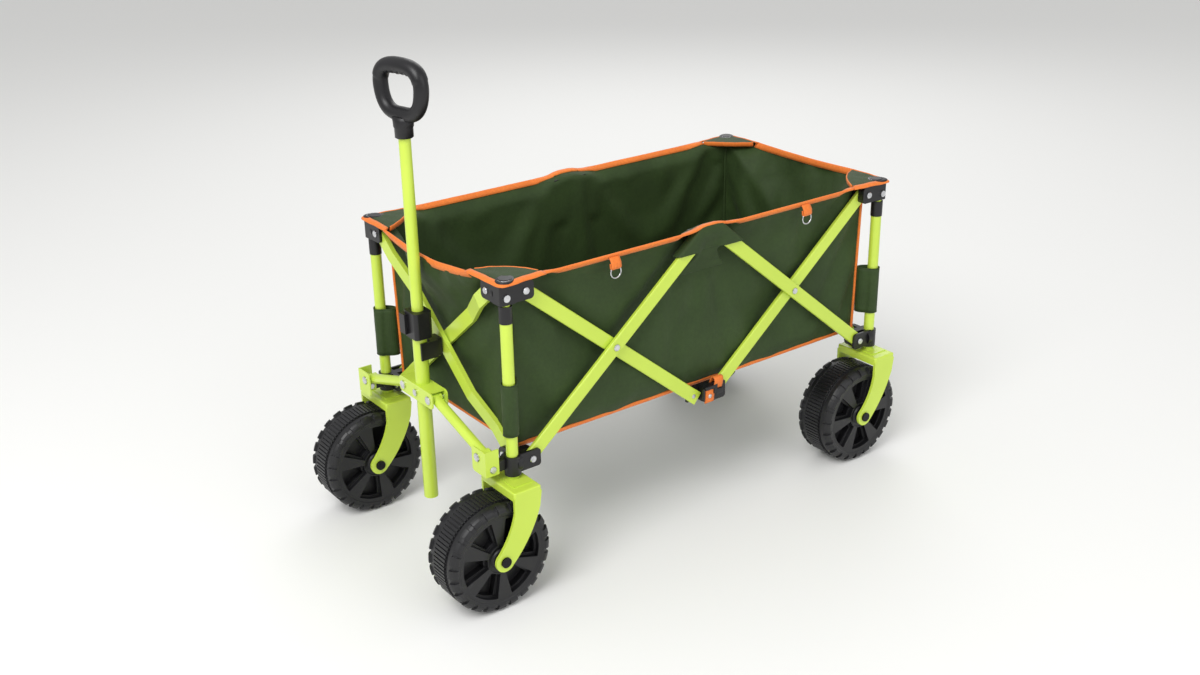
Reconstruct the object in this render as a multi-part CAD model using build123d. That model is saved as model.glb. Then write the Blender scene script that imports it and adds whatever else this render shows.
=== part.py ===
# Folding beach cart: a four-post scissor frame with a fabric bag, four wide wheels and a pull handle.
# Millimetres. +Z is up and the ground is z = 0. +Y runs along the cart, with the handle at the -Y end,
# and +X is the cart's left side. The origin is the centre of the bounding box at ground level.
# A corner piece is drawn once, for the front left post with that post on the Z axis, and then mirrored.
import os
from math import atan2, cos, degrees, hypot, radians, sin, tan

from build123d import *

# Frame
half_width = 212
half_length = 421
frame_shift = 52.25
bottom_pivot = 241
top_pivot = 537
side_pivot_inset = 34
end_pivot_inset = 32
centre_pivot_reach = 27
bar_width = 25
side_bar_thickness = 8
end_bar_thickness = 8
outer_bar_x = 0.5
inner_bar_x = -8.5
bar_plate_x = (5, 9.5)
post_radius = 10
post_bore = 8.3
post_foot = 246
post_top = 489
collar_top = 518
connector_radius = 14
lug_radius = 15
lug_inner_x = -18
rivet_radius = 4
rivet_hole = 4.06
bar_hole = 4.3

# Wheels and forks
wheel_radius = 97.4
wheel_width = 78
front_axle_lead = 53.5
rear_axle_lead = 51
fork_plate_top = 215
fork_plate_bottom = 200
fork_half_width = 50
fork_leg = 5
axle_radius = 5
spoke_count = 6
lug_count = 22

# Pull handle, in front of the posts by handle_lead
handle_lead = 39
tilt_lead = 40
tilt_height = 243
arm_radius = 9
arm_outer = (-21, 261)
arm_inner = (42, 307)
tube_radius = 12.5
tube_bottom = 101
tube_top = 440
clamp_bottom = 408
clamp_top = 455
rod_radius = 10
rod_bottom = 365
grip_bottom = 750
grip_top = 878
grip_width = 122

# Bag
d_ring_positions = (-212, 223)
d_ring_height = 518
rim_half_width = 221
bag_half_width = 189
bag_half_length = 392
cloth = 4
bag_floor = 246
bag_rim = 556

span = half_length - side_pivot_inset - centre_pivot_reach
rise = top_pivot - bottom_pivot
bar_length = hypot(span, rise)
bar_angle = degrees(atan2(rise, span))
middle_height = (bottom_pivot + top_pivot) / 2

sides = {"left": 1, "right": -1}
ends = {"front": -1, "rear": 1}
parts = {}


def box(x, y, z):
    """A block between the given limits."""
    size = [high - low for low, high in (x, y, z)]
    middle = [(high + low) / 2 for low, high in (x, y, z)]
    return Pos(*middle) * Box(*size)


def rod_between(start, finish, radius):
    """A round bar from one point to another."""
    start, finish = Vector(*start), Vector(*finish)
    along = finish - start
    plane = Plane(origin=start, z_dir=along)
    return plane * Cylinder(radius, along.length, align=(Align.CENTER, Align.CENTER, Align.MIN))


def ring(outer, inner, low, high):
    """A tube standing on the Z axis."""
    tube = Cylinder(outer, high - low) - Cylinder(inner, high - low)
    return Pos(0, 0, (low + high) / 2) * tube


def rivet(start, finish, head=7.5, head_height=2.4):
    """A rivet with a bevelled head outside each end of its grip."""
    start, finish = Vector(*start), Vector(*finish)
    grip = (finish - start).length
    cap = Pos(0, 0, head_height / 2) * Cylinder(head, head_height)
    cap = chamfer(cap.edges().group_by(Axis.Z)[-1], head_height * 0.45)
    shank = Cylinder(rivet_radius, grip, align=(Align.CENTER, Align.CENTER, Align.MIN))
    tail = cap.mirror(Plane.XY)
    whole = shank + Pos(0, 0, grip) * cap + tail
    return Plane(origin=start, z_dir=finish - start) * whole


def flat_link(points, radius, low, high, normal):
    """A rounded plate through two points in a plane across the given axis, x or y."""
    (a, b), (c, d) = points
    length = hypot(c - a, d - b)
    outline = SlotCenterToCenter(length, 2 * radius)
    middle = ((a + c) / 2, (b + d) / 2)
    if normal == "x":
        plane = Plane(origin=(low, *middle), x_dir=(0, c - a, d - b), z_dir=(1, 0, 0))
    else:
        plane = Plane(origin=(middle[0], high, middle[1]), x_dir=(c - a, 0, d - b), z_dir=(0, -1, 0))
    return extrude(plane * outline, high - low)


def at_corner(shape, side, end):
    """Mirrors a front left corner piece to the given corner and moves it there."""
    if side < 0:
        shape = shape.mirror(Plane.YZ)
    if end > 0:
        shape = shape.mirror(Plane.XZ)
    return Pos(side * half_width, frame_shift + end * half_length, 0) * shape


def add_corner(name, solids):
    for side_name, side in sides.items():
        for end_name, end in ends.items():
            placed = [at_corner(solid, side, end) for solid in solids]
            parts[f"{name}_{end_name}_{side_name}"] = placed


# Posts: a lower tube with a slide collar, and an inner tube that the top connector carries
def posts():
    add_corner("post", [ring(post_radius, post_bore, post_foot, post_top)])


def bottom_connector(front):
    """The socket under a post, its two bar lugs, its fork bore and, in front, the handle's tilt tongue."""
    body = Pos(0, 0, 239) * Cylinder(connector_radius, 34)
    side_reach = ((0, bottom_pivot), (side_pivot_inset, bottom_pivot))
    body += flat_link(side_reach, lug_radius, lug_inner_x, -4, "x")
    side_plate = box(bar_plate_x, (-2, 50), (226, 257))
    body += fillet(side_plate.edges().filter_by(Axis.X).group_by(Axis.Y)[-1], 6)
    body += flat_link(((0, bottom_pivot), (-end_pivot_inset, bottom_pivot)), lug_radius, 3, 12.5, "y")
    if front:
        body += box((-12, 0), (-tilt_lead, 0), (233.5, 252.5))
        body += flat_link(((-tilt_lead, tilt_height), (-30, tilt_height)), 9.5, -12, 0, "x")
        body -= rod_between((-20, -tilt_lead, tilt_height), (5, -tilt_lead, tilt_height), 4.3)
    body -= Pos(0, 0, post_foot + 10) * Cylinder(post_radius + 0.05, 20)
    body -= Pos(0, 0, 232) * Cylinder(6.06, 24)
    pivot_y, pivot_x = side_pivot_inset, -end_pivot_inset
    body -= rod_between((-30, pivot_y, bottom_pivot), (20, pivot_y, bottom_pivot), rivet_hole)
    body -= rod_between((pivot_x, -5, bottom_pivot), (pivot_x, 30, bottom_pivot), rivet_hole)
    collar = ring(11, post_bore, post_top, collar_top)
    side_rivet = rivet((lug_inner_x - 0.2, pivot_y, bottom_pivot), (bar_plate_x[1] + 0.2, pivot_y, bottom_pivot), 6)
    end_rivet = rivet((pivot_x, 2.8, bottom_pivot), (pivot_x, 21.2, bottom_pivot))
    return [body, collar, side_rivet, end_rivet]


def bottom_connectors():
    for side_name, side in sides.items():
        for end_name, end in ends.items():
            solids = bottom_connector(end < 0)
            placed = [at_corner(solid, side, end) for solid in solids]
            parts[f"bottom_connector_{end_name}_{side_name}"] = placed


def top_connectors():
    """Caps on the inner tubes: a clevis for each bar, a round top button and three rivets."""
    side_reach = ((0, top_pivot), (side_pivot_inset, top_pivot))
    end_reach = ((-6, top_pivot), (-end_pivot_inset, top_pivot))
    pivot_y, pivot_x = side_pivot_inset, -end_pivot_inset
    hub = box((-14, bar_plate_x[1]), (-14, 14), (521, 556))
    side_plate = box((-4, bar_plate_x[1]), (-14, 49), (522, 553))
    end_plate = box((-47, bar_plate_x[1]), (-14, -9), (522, 553))
    side_plate = fillet(side_plate.edges().filter_by(Axis.X).group_by(Axis.Y)[-1], 7)
    end_plate = fillet(end_plate.edges().filter_by(Axis.Y).group_by(Axis.X)[0], 7)
    body = hub + side_plate + end_plate
    body = fillet(body.edges().filter_by(Axis.Z).group_by(Axis.X)[-1].group_by(Axis.Y)[0], 4)
    body += flat_link(side_reach, lug_radius, lug_inner_x, -13, "x") + flat_link(end_reach, lug_radius, 0, 5, "y")
    body -= Pos(0, 0, 535) * Cylinder(8.05, 30.4)
    body -= rod_between((-30, pivot_y, top_pivot), (20, pivot_y, top_pivot), rivet_hole)
    body -= rod_between((pivot_x, -20, top_pivot), (pivot_x, 20, top_pivot), rivet_hole)
    button = Pos(-3, 3, 559.2) * Cylinder(13, 5.6)
    button = fillet(button.edges().group_by(Axis.Z)[-1], 3)
    inner_tube = ring(8, 6.8, 300, 550)
    side_rivet = rivet((lug_inner_x - 0.2, pivot_y, top_pivot), (bar_plate_x[1] + 0.2, pivot_y, top_pivot), 6)
    end_rivet = rivet((pivot_x, 5.2, top_pivot), (pivot_x, -14.2, top_pivot), 6)
    post_rivet = rod_between((bar_plate_x[1] + 0.1, -3, 533), (bar_plate_x[1] + 2.5, -3, 533), 6)
    add_corner("top_connector", [body, inner_tube, button, side_rivet, end_rivet, post_rivet])


# Scissor bars
def side_bar(start_y, end_y, start_z, end_z, offset):
    """A flat bar between two pivots, drawn on the left side with its middle pivot hole."""
    middle = ((start_y + end_y) / 2, middle_height)
    along = (0, end_y - start_y, end_z - start_z)
    plane = Plane(origin=(half_width + offset, frame_shift + middle[0], middle[1]), x_dir=along, z_dir=(1, 0, 0))
    bar = extrude(SlotCenterToCenter(bar_length, bar_width), side_bar_thickness / 2, both=True)
    bar = fillet(bar.edges().filter_by(GeomType.LINE).filter_by(Axis.X), 2.5)
    for x in (-bar_length / 2, 0, bar_length / 2):
        bar -= Pos(x, 0, 0) * Cylinder(bar_hole, 20)
    return plane * bar


def squared_end(bar, row):
    """An inner bar ends square at the bottom centre connector."""
    start_y, end_y, start_z, end_z, offset = row
    low_y, high_y = (end_y, start_y) if start_z > end_z else (start_y, end_y)
    along = (0, high_y - low_y, abs(end_z - start_z))
    origin = (half_width + offset, frame_shift + low_y, bottom_pivot)
    square = Pos(-4, 0, 0) * Box(15, bar_width, side_bar_thickness)
    square -= Cylinder(bar_hole, 20)
    return bar + Plane(origin=origin, x_dir=along, z_dir=(1, 0, 0)) * square


def side_bars():
    post_y = half_length - side_pivot_inset
    centre_y = centre_pivot_reach
    low, high = bottom_pivot, top_pivot
    rows = {
        "front_outer": (-post_y, -centre_y, low, high, outer_bar_x),
        "front_inner": (-post_y, -centre_y, high, low, inner_bar_x),
        "rear_outer": (centre_y, post_y, high, low, outer_bar_x),
        "rear_inner": (centre_y, post_y, low, high, inner_bar_x),
    }
    for name, row in rows.items():
        solids = [side_bar(*row)]
        if name.endswith("inner"):
            solids = [squared_end(solids[0], row)]
        if name.endswith("outer"):
            y = frame_shift + (row[0] + row[1]) / 2
            inside = (half_width + inner_bar_x - side_bar_thickness / 2 - 0.2, y, middle_height)
            outside = (half_width + outer_bar_x + side_bar_thickness / 2 + 0.2, y, middle_height)
            solids.append(rivet(inside, outside, 6))
        parts[f"side_bar_{name}_left"] = solids
        parts[f"side_bar_{name}_right"] = [solid.mirror(Plane.YZ) for solid in solids]


def end_bar(middle_offset):
    """A joggled strip: X runs along it from its bottom pivot and Z is outward from the cart's end."""
    bottom_offset, top_offset = -17, 4.5
    half = end_bar_thickness / 2
    route = [
        (-bar_width / 2, bottom_offset), (50, bottom_offset), (120, middle_offset),
        (bar_length - 120, middle_offset), (bar_length - 50, top_offset),
        (bar_length + bar_width / 2, top_offset),
    ]
    outline = [(x, z + half) for x, z in route] + [(x, z - half) for x, z in reversed(route)]
    strip = extrude(Plane.XZ * make_face(Polyline(*outline, close=True)), bar_width / 2, both=True)
    ends_cut = extrude(Pos(bar_length / 2, 0, 0) * SlotCenterToCenter(bar_length, bar_width), 60, both=True)
    strip = strip & ends_cut
    for x in (0, bar_length / 2, bar_length):
        strip -= Pos(x, 0, 0) * Cylinder(bar_hole, 100)
    return strip


def end_bars():
    start_x = half_width - end_pivot_inset
    lean = (cos(radians(bar_angle)), sin(radians(bar_angle)))
    for end_name, end in ends.items():
        y = frame_shift + end * half_length
        for name, side, middle_offset in (("outer", 1, -4), ("inner", -1, -14)):
            plane = Plane(
                origin=(side * start_x, y, bottom_pivot), x_dir=(-side * lean[0], 0, lean[1]), z_dir=(0, end, 0)
            )
            solids = [plane * end_bar(middle_offset)]
            if name == "outer":
                solids.append(rivet((0, y - end * 18.2, middle_height), (0, y + end * 0.2, middle_height)))
            parts[f"end_bar_{end_name}_{name}"] = solids


# Centre connectors of the long sides
def centre_connectors():
    """The top one holds the outer bars' ends. The bottom one holds the inner bars' and covers the rear one."""
    x = half_width
    y = frame_shift
    inside = x + lug_inner_x - 0.2
    top = box((x + lug_inner_x, x - 4), (y - 42, y + 42), (520, 554))
    top = fillet(top.edges().filter_by(Axis.X), 10)
    bottom = box((x + lug_inner_x, x - 13), (y - 36, y + 42), (228, 256))
    bottom = fillet(bottom.edges().filter_by(Axis.X).group_by(Axis.Z)[-1], 10)
    cover = box((x - 4, x + 2), (y - 9, y + 42), (224, 258))
    cover = fillet(cover.edges().filter_by(Axis.X), 6)
    bottom = bottom + cover + box((x - 14, x - 3), (y - 8.5, y + 8.5), (226, 256))
    solids = {"top": [top], "bottom": [bottom]}
    for pivot in (y - centre_pivot_reach, y + centre_pivot_reach):
        solids["top"][0] -= rod_between((x - 30, pivot, top_pivot), (x + 20, pivot, top_pivot), rivet_hole)
        solids["bottom"][0] -= rod_between((x - 30, pivot, bottom_pivot), (x + 20, pivot, bottom_pivot), rivet_hole)
        solids["top"].append(rivet((inside, pivot, top_pivot), (x + 4.7, pivot, top_pivot), 6))
        outside = x + 1.8 if pivot > y else x - 4.5
        shank = rod_between((inside, pivot, bottom_pivot), (outside, pivot, bottom_pivot), rivet_radius)
        solids["bottom"].append(shank + rod_between((inside - 2, pivot, bottom_pivot), (inside, pivot, bottom_pivot), 6))
    for name, group in solids.items():
        parts[f"centre_connector_{name}_left"] = group
        parts[f"centre_connector_{name}_right"] = [solid.mirror(Plane.YZ) for solid in group]


# Forks, axles and wheels
def fork(lead, stem_top):
    """A folded top plate and two swept legs, with the stem on the Z axis and the axle ahead of it."""
    plate = box((-fork_half_width, fork_half_width), (-31, 22), (fork_plate_bottom, fork_plate_top))
    plate = fillet(plate.edges().filter_by(Axis.Z), 4)
    plate = fillet(plate.edges().group_by(Axis.Z)[-1], 3)
    plate += box((-32, 32), (-20, 16), (fork_plate_top - 1, fork_plate_top + 1.5))
    collar = Pos(0, 0, fork_plate_top + 3.25) * Cylinder(10.5, 6.5)
    stem = Pos(0, 0, (fork_plate_top + stem_top) / 2) * Cylinder(6, stem_top - fork_plate_top)
    eye = 18
    front_end = (-lead - eye * 0.83, wheel_radius + eye * 0.56)
    rear_end = (-lead + eye * 0.83, wheel_radius - eye * 0.56)
    front_edge = ThreePointArc((-31, 178), (-lead + 10, 143), front_end)
    rear_edge = ThreePointArc(rear_end, (0, 137), (18, 178))
    outline = make_face([
        Line((22, 206), (-31, 206)), Line((-31, 206), (-31, 178)), front_edge,
        Line(front_end, rear_end), rear_edge, Line((18, 178), (22, 206)),
    ])
    leg = extrude(Plane.YZ * outline, fork_leg)
    leg += rod_between((0, -lead, wheel_radius), (fork_leg, -lead, wheel_radius), eye)
    body = plate + collar + stem
    for x in (-fork_half_width, fork_half_width - fork_leg):
        body += Pos(x, 0, 0) * leg
    return body - rod_between((-80, -lead, wheel_radius), (80, -lead, wheel_radius), axle_radius + 0.05)


def axle(lead):
    shank = rod_between((-52, -lead, wheel_radius), (52, -lead, wheel_radius), axle_radius)
    for side in sides.values():
        inside, outside = side * (fork_half_width + 0.2), side * (fork_half_width + 3.7)
        shank += rod_between((inside, -lead, wheel_radius), (outside, -lead, wheel_radius), 9)
    return shank


def wheel():
    """The wheel about the X axis: tread, shoulder lugs, pocketed faces and hub."""
    half = wheel_width / 2
    shoulder, band = 20, 15
    profile = Polyline(
        (0, 60), (half - 6, 60), (half - 6, 72), (half, 78), (half, wheel_radius - 9), (half - 4, wheel_radius - 4),
        (shoulder, wheel_radius - 0.5), (band, wheel_radius), (0, wheel_radius), close=True,
    )
    tyre = revolve(make_face(Plane.XY * profile), Axis.X)
    notches = []
    for index in range(lug_count):
        turn = 360 / lug_count * (index + 0.5)
        notch = box((shoulder + 1, half + 2), (-4.5, 4.5), (wheel_radius - 7, wheel_radius + 4))
        notches.append(Rot(turn, 0, 0) * notch)
    tyre = tyre - notches
    face = revolve(make_face(Plane.XY * Polyline((0, 0), (half - 9, 0), (half - 9, 61), (0, 61), close=True)), Axis.X)
    pockets = []
    half_turn = radians(180 / spoke_count)
    for index in range(spoke_count):
        inner, outer, gap = 24, 55, 5
        corners = [
            (-(inner * tan(half_turn) - gap), inner), (inner * tan(half_turn) - gap, inner),
            (outer * sin(half_turn) - gap, outer * cos(half_turn) + 3), (0, outer + 1),
            (-(outer * sin(half_turn) - gap), outer * cos(half_turn) + 3),
        ]
        pocket = extrude(Plane.YZ.offset(8) * make_face(Polyline(*corners, close=True)), half)
        pockets.append(Rot(360 / spoke_count * index, 0, 0) * pocket)
    half_wheel = tyre + (face - pockets)
    hub = Rot(0, 90, 0) * Pos(0, 0, 20.5) * Cylinder(16, 41)
    half_wheel = half_wheel + hub
    whole = half_wheel + half_wheel.mirror(Plane.YZ)
    return whole - Rot(0, 90, 0) * Cylinder(axle_radius + 0.06, 100)


def running_gear():
    rolling = wheel()
    for end_name, end in ends.items():
        lead = front_axle_lead if end < 0 else rear_axle_lead
        stem_top = 243
        for side_name, side in sides.items():
            corner = Pos(side * half_width, frame_shift + end * half_length, 0)
            parts[f"fork_{end_name}_{side_name}"] = [corner * fork(lead, stem_top)]
            parts[f"axle_{end_name}_{side_name}"] = [corner * axle(lead)]
            parts[f"wheel_{end_name}_{side_name}"] = [corner * Pos(0, -lead, wheel_radius) * rolling]


# Pull handle
def corner_bracket():
    """Folded sheet on the tilt rivet, holding the outer end of an arm."""
    front = box((-37, 3.5), (-54, -51.5), (232, 277))
    front = fillet(front.edges().filter_by(Axis.Y), 6)
    outer = box((1, 3.5), (-54, -28), (232, 277))
    inner = box((-15.5, -13), (-54, -30), (233, 250.5))
    sheet = front + outer + inner
    sheet -= rod_between((-20, -tilt_lead, tilt_height), (8, -tilt_lead, tilt_height), rivet_hole)
    x, z = arm_outer
    sheet -= rod_between((x, -60, z), (x, -20, z), rivet_hole)
    tilt_rivet = rivet((-15.7, -tilt_lead, tilt_height), (3.7, -tilt_lead, tilt_height), head=6)
    arm_rivet = rivet((x, -30.8, z), (x, -54.2, z))
    return [sheet, tilt_rivet, arm_rivet]


def arm():
    """A round arm with an eye at each end, on the left of the centre."""
    y = frame_shift - half_length - tilt_lead
    x_out, z_out = half_width + arm_outer[0], arm_outer[1]
    x_in, z_in = arm_inner
    body = rod_between((x_out, y, z_out), (x_in, y, z_in), arm_radius)
    for x, z in ((x_out, z_out), (x_in, z_in)):
        body += rod_between((x, y - arm_radius, z), (x, y + arm_radius, z), arm_radius)
    for x, z in ((x_out, z_out), (x_in, z_in)):
        body -= rod_between((x, y - 20, z), (x, y + 20, z), bar_hole)
    return body


def handle():
    y_post = frame_shift - half_length
    y = y_post - handle_lead
    for side_name, side in sides.items():
        bracket = [at_corner(solid, side, -1) for solid in corner_bracket()]
        parts[f"handle_corner_bracket_{side_name}"] = bracket
        parts[f"handle_arm_{side_name}"] = [arm() if side > 0 else arm().mirror(Plane.YZ)]
    x_in, z_in = arm_inner
    plates = box((-56, 56), (y_post - 54.5, y_post - 52), (293, 322)) + box((-56, 56), (y_post - 26, y_post - 23.5),
                                                                         (293, 322))
    plates = fillet(plates.edges().filter_by(Axis.Y), 8)
    web = box((-48, 48), (y_post - 52.5, y_post - 25.5), (319.5, 322))
    bracket = plates + web - Pos(0, y, 307) * Cylinder(tube_radius + 0.05, 60)
    bracket -= rod_between((x_in, y_post - 60, z_in), (x_in, y_post - 20, z_in), rivet_hole)
    pivot = rivet((x_in, y_post - 23.3, z_in), (x_in, y_post - 54.7, z_in))
    stub = rod_between((-x_in, y_post - 54.6, z_in), (-x_in, y_post - 57.1, z_in), 7.5)
    middle = rod_between((0, y_post - 54.6, z_in), (0, y_post - 57.1, z_in), 6)
    parts["handle_centre_bracket"] = [bracket, pivot, stub, middle]
    tube = Pos(0, y, 0) * ring(tube_radius, rod_radius + 0.3, tube_bottom, tube_top)
    parts["handle_tube"] = [tube]
    clamp = box((-20, 20), (y - 17, y + 17), (clamp_bottom, clamp_top))
    clamp = fillet(clamp.edges().filter_by(Axis.Z), 7)
    clamp += box((-24, -6), (y - 23, y - 12), (clamp_bottom + 6, clamp_top - 6))
    clamp -= Pos(0, y, (clamp_bottom + tube_top) / 2) * Cylinder(tube_radius + 0.05, tube_top - clamp_bottom)
    clamp -= Pos(0, y, clamp_top) * Cylinder(rod_radius + 0.3, 60)
    parts["handle_clamp"] = [clamp]
    parts["handle_rod"] = [Pos(0, y, 0) * ring(rod_radius, 8.5, rod_bottom, grip_bottom + 20)]
    parts["handle_grip"] = [Pos(0, y, 0) * grip()]
    clip = box((-12, 12), (y_post - 14, y_post - 3), (368, 399)) + box((-5, 16.5), (y_post - 25, y_post - 13),
                                                                     (368, 399))
    clip += box((13, 16.5), (y_post - 46, y_post - 13), (368, 399))
    parts["parking_clip"] = [clip]


def grip():
    """The hand grip: a rounded D loop on a short socket."""
    half = grip_width / 2
    loop_bottom = grip_bottom + 28
    outline = Polyline(
        (-20, loop_bottom), (20, loop_bottom), (half - 8, loop_bottom + 38), (half, grip_top - 18),
        (half - 18, grip_top), (-half + 18, grip_top), (-half, grip_top - 18), (-half + 8, loop_bottom + 38),
        close=True,
    )
    hole = Polyline(
        (-12, loop_bottom + 24), (12, loop_bottom + 24), (half - 28, loop_bottom + 44), (half - 24, grip_top - 27),
        (-half + 24, grip_top - 27), (-half + 28, loop_bottom + 44), close=True,
    )
    loop = extrude(Plane.XZ * make_face(outline), 14, both=True)
    loop = fillet(loop.edges().filter_by(GeomType.LINE).filter_by(lambda edge: abs(edge.length - 28) > 1), 8)
    loop -= extrude(Plane.XZ * make_face(hole), 20, both=True)
    socket = Pos(0, 0, grip_bottom + 15) * Cylinder(15, 30)
    return loop + socket - Pos(0, 0, grip_bottom + 10) * Cylinder(rod_radius + 0.05, 20.2)


# Bag and its hardware
def bag():
    side = box((bag_half_width - cloth, bag_half_width), (-bag_half_length + 1, bag_half_length - 1),
               (bag_floor + 3, bag_rim))
    floor = box((0.5, bag_half_width - cloth - 1), (-bag_half_length + cloth + 2, bag_half_length - cloth - 2),
                (bag_floor, bag_floor + cloth))
    for side_name, direction in sides.items():
        panel, half_floor = (side, floor) if direction > 0 else (side.mirror(Plane.YZ), floor.mirror(Plane.YZ))
        parts[f"bag_{side_name}"] = [Pos(0, frame_shift, 0) * panel]
        parts[f"bag_floor_{side_name}"] = [Pos(0, frame_shift, 0) * half_floor]
    inner_edge = bag_half_length - cloth
    width = bag_half_width - cloth - 0.5
    for end_name, end in ends.items():
        limits = sorted((end * inner_edge, end * bag_half_length))
        panel = box((-width, width), limits, (bag_floor + 3, bag_rim))
        parts[f"bag_{end_name}"] = [Pos(0, frame_shift, 0) * panel]


def d_rings():
    """Flat rings on short webbing tabs under the rim."""
    x = rim_half_width
    solids = []
    for y in (frame_shift + ring_y for ring_y in d_ring_positions):
        z = d_ring_height
        profile = Circle(13) + Pos(0, 6.5) * Rectangle(26, 13)
        opening = Circle(9.5) + Pos(0, 4.75) * Rectangle(19, 9.5)
        flat_ring = extrude(Plane(origin=(x + 1.8, y, z - 10), x_dir=(0, 1, 0), z_dir=(1, 0, 0)) * (profile - opening),
                            3)
        tab = box((x + 0.3, x + 1.5), (y - 9, y + 9), (z - 2, z + 30))
        solids += [flat_ring, tab]
    parts["d_rings_left"] = solids
    parts["d_rings_right"] = [solid.mirror(Plane.YZ) for solid in solids]


def buckles():
    """A riveted webbing tab on each bottom centre connector and the buckle above it."""
    x = half_width
    y = frame_shift
    tab = box((x + 2.3, x + 4), (y - 9, y + 13), (226, 252))
    pin = rod_between((x + 4.1, y + 2, 238), (x + 6, y + 2, 238), 4)
    buckle = box((x + 2.3, x + 8), (y + 15, y + 38), (243, 268))
    buckle = fillet(buckle.edges().filter_by(Axis.X), 4)
    solids = [tab, pin, buckle]
    parts["buckle_strap_left"] = solids
    parts["buckle_strap_right"] = [solid.mirror(Plane.YZ) for solid in solids]


def write_parts():
    os.makedirs("parts", exist_ok=True)
    for name, solids in parts.items():
        node = Compound(children=[Solid(solid.solids()[0].wrapped) for solid in solids])
        export_step(node, f"parts/{name}.step")


for section in (posts, bottom_connectors, top_connectors, side_bars, end_bars, centre_connectors, running_gear,
                handle, bag, d_rings, buckles):
    section()
write_parts()
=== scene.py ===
from math import cos, hypot, pi, radians, sin

import bmesh
import bpy
from mathutils import Matrix, Vector, noise


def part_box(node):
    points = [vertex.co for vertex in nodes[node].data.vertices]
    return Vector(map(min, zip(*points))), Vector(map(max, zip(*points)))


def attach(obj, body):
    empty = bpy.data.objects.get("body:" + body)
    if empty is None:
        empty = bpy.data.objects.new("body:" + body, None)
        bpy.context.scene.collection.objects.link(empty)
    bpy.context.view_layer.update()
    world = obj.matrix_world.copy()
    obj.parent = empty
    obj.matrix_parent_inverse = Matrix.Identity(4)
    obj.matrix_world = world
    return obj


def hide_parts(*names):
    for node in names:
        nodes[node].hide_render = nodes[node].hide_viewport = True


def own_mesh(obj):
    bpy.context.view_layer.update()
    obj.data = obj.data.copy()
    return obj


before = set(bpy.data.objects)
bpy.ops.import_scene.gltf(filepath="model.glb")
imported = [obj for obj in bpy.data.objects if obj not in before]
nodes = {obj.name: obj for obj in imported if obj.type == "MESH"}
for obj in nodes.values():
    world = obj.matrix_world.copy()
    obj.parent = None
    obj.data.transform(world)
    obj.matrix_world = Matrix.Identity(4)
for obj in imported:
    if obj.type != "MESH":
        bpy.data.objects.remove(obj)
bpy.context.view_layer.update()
metres = 0.001  # every piece is drawn in millimetres and scaled once

# Places taken from the frame, in millimetres
postSpots = {}
for endName in ("front", "rear"):
    for sideName in ("left", "right"):
        low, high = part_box(f"post_{endName}_{sideName}")
        postSpots[endName, sideName] = (low + high) * 0.5 / metres
halfWidth = postSpots["front", "left"].x
midY = (postSpots["front", "left"].y + postSpots["rear", "left"].y) / 2
halfLength = postSpots["rear", "left"].y - midY
sideSign = {"left": 1, "right": -1}
endSign = {"front": -1, "rear": 1}
print("frame loaded", round(halfWidth), round(halfLength))


# Camera, light and floor
cameraSetup = {"place": (1.8597, -1.41395, 1.2889), "turns": (0.9449, 1.1688, -0.0242), "lens": 40.43, "shift": 0.0151}
cameraData = bpy.data.cameras.new("camera")
camera = bpy.data.objects.new("camera", cameraData)
bpy.context.scene.collection.objects.link(camera)
turnZ, turnX, roll = cameraSetup["turns"]
cameraTurn = Matrix.Rotation(turnZ, 4, "Z") @ Matrix.Rotation(turnX, 4, "X") @ Matrix.Rotation(roll, 4, "Z")
camera.matrix_world = Matrix.Translation(cameraSetup["place"]) @ cameraTurn
cameraData.lens = cameraSetup["lens"]
cameraData.sensor_width = 36
cameraData.shift_x = cameraSetup["shift"]
cameraData.clip_start = 0.02
bpy.context.scene.camera = camera

lampSetup = {
    "key": {"place": (1.2, -2.6, 3.4), "aim": (0, 0, 0.3), "size": 2.2, "power": 105},
    "fill": {"place": (3.4, 0.6, 2.0), "aim": (0, 0.1, 0.3), "size": 2.6, "power": 22},
    "back": {"place": (-2.4, 2.2, 2.6), "aim": (0, 0, 0.4), "size": 2.2, "power": 26},
}
for lampName, lamp in lampSetup.items():
    lampData = bpy.data.lights.new(lampName, "AREA")
    lampData.energy = lamp["power"]
    lampData.size = lamp["size"]
    lampObject = bpy.data.objects.new(lampName, lampData)
    bpy.context.scene.collection.objects.link(lampObject)
    aim = Vector(lamp["aim"]) - Vector(lamp["place"])
    lampObject.matrix_world = Matrix.Translation(lamp["place"]) @ aim.to_track_quat("-Z", "Y").to_matrix().to_4x4()
world = bpy.data.worlds.new("studio")
world.use_nodes = True
world.node_tree.nodes["Background"].inputs["Color"].default_value = (1, 1, 1, 1)
world.node_tree.nodes["Background"].inputs["Strength"].default_value = 0.62
bpy.context.scene.world = world
bpy.context.scene.view_settings.view_transform = "Standard"  # plain studio colour, so paint and tape stay vivid


# Materials
def hexColour(text, alpha=1.0):
    channels = [int(text[i:i + 2], 16) / 255 for i in (1, 3, 5)]
    linear = [c / 12.92 if c <= 0.04045 else ((c + 0.055) / 1.055) ** 2.4 for c in channels]
    return (*linear, alpha)


def addNode(tree, kind, inputs=None, **settings):
    node = tree.nodes.new(kind)
    for key, value in settings.items():
        setattr(node, key, value)
    for key, value in (inputs or {}).items():
        if isinstance(value, bpy.types.NodeSocket):
            tree.links.new(value, node.inputs[key])
        else:
            node.inputs[key].default_value = value
    return node


def startMaterial(name, shaderInputs):
    material = bpy.data.materials.new(name)
    material.use_nodes = True
    tree = material.node_tree
    shader = tree.nodes["Principled BSDF"]
    for key, value in shaderInputs.items():
        shader.inputs[key].default_value = value
    return material, tree, shader


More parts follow.
